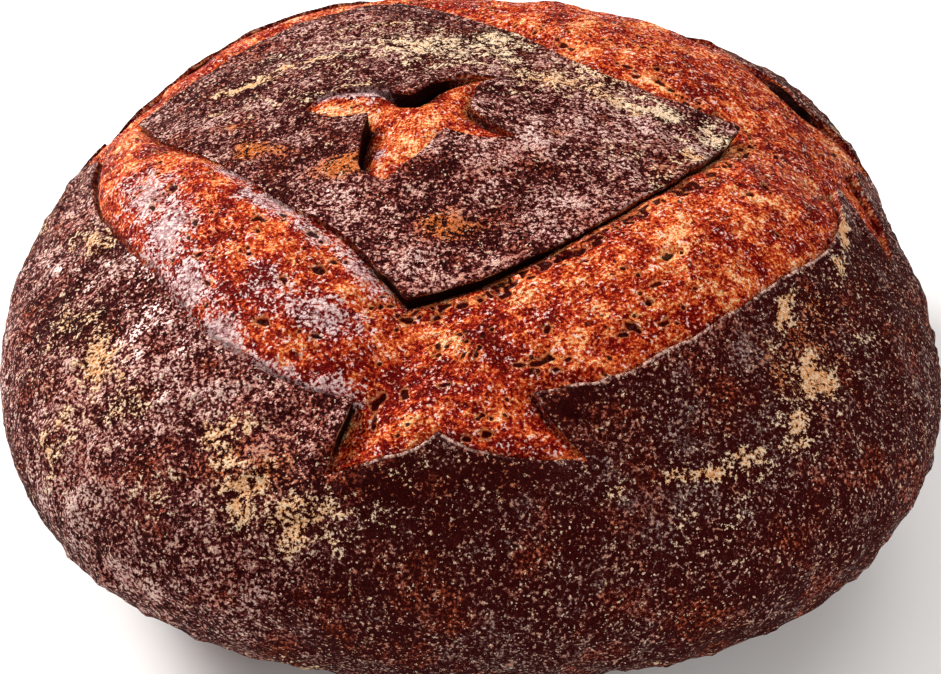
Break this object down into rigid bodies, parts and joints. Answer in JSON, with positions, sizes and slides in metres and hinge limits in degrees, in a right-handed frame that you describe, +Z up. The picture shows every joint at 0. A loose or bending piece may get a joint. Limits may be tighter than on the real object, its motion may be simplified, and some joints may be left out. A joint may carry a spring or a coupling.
{
  "type": "sourdough loaf",
  "caption": "Round hearth-baked loaf with a dark crust, crossing cuts opened in its top and a flat underside.",
  "frame": {"origin": "middle of the loaf's box in plan, on the surface that its flat underside rests on", "axes": "+Z up through the crown; -Y towards the front corner of the scored diamond; +X to its right"},
  "size_m": [0.2404, 0.2502, 0.1108],
  "materials": {
    "crust": "satin"
  },
  "bodies": {
    "root": {"loaf": "crust"}
  },
  "joints": []
}
